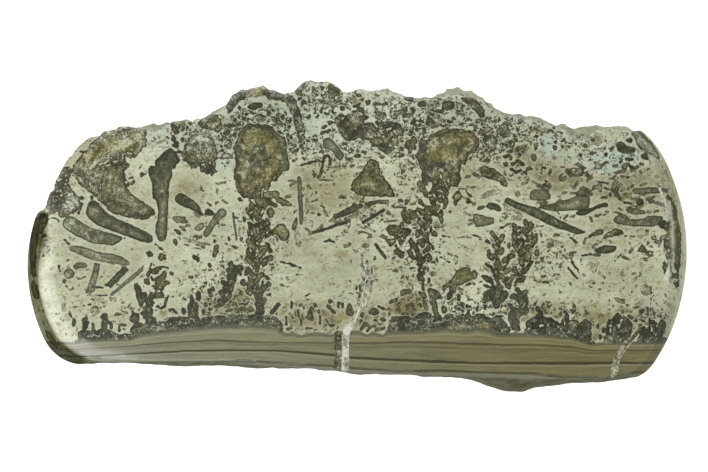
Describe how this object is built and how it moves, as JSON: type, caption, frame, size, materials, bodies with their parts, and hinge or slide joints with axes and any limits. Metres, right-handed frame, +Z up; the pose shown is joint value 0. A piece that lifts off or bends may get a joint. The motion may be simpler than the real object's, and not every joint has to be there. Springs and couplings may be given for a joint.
{
  "type": "polished stromatolite slab",
  "caption": "Cut slab of stromatolite limestone with one polished face, rounded ground ends, a knobbly crust along one long side and a bedded base along the other.",
  "frame": {"origin": "middle of the slab's box, on the sawn back that it lies on", "axes": "+X along the slab, +Y from the laminated base of the growth towards its knobbly crust, +Z up out of the polished face"},
  "size_m": [0.1616, 0.0768, 0.022],
  "materials": {
    "stone": "satin"
  },
  "bodies": {
    "root": {"stromatolite_slab": "stone"}
  },
  "joints": []
}
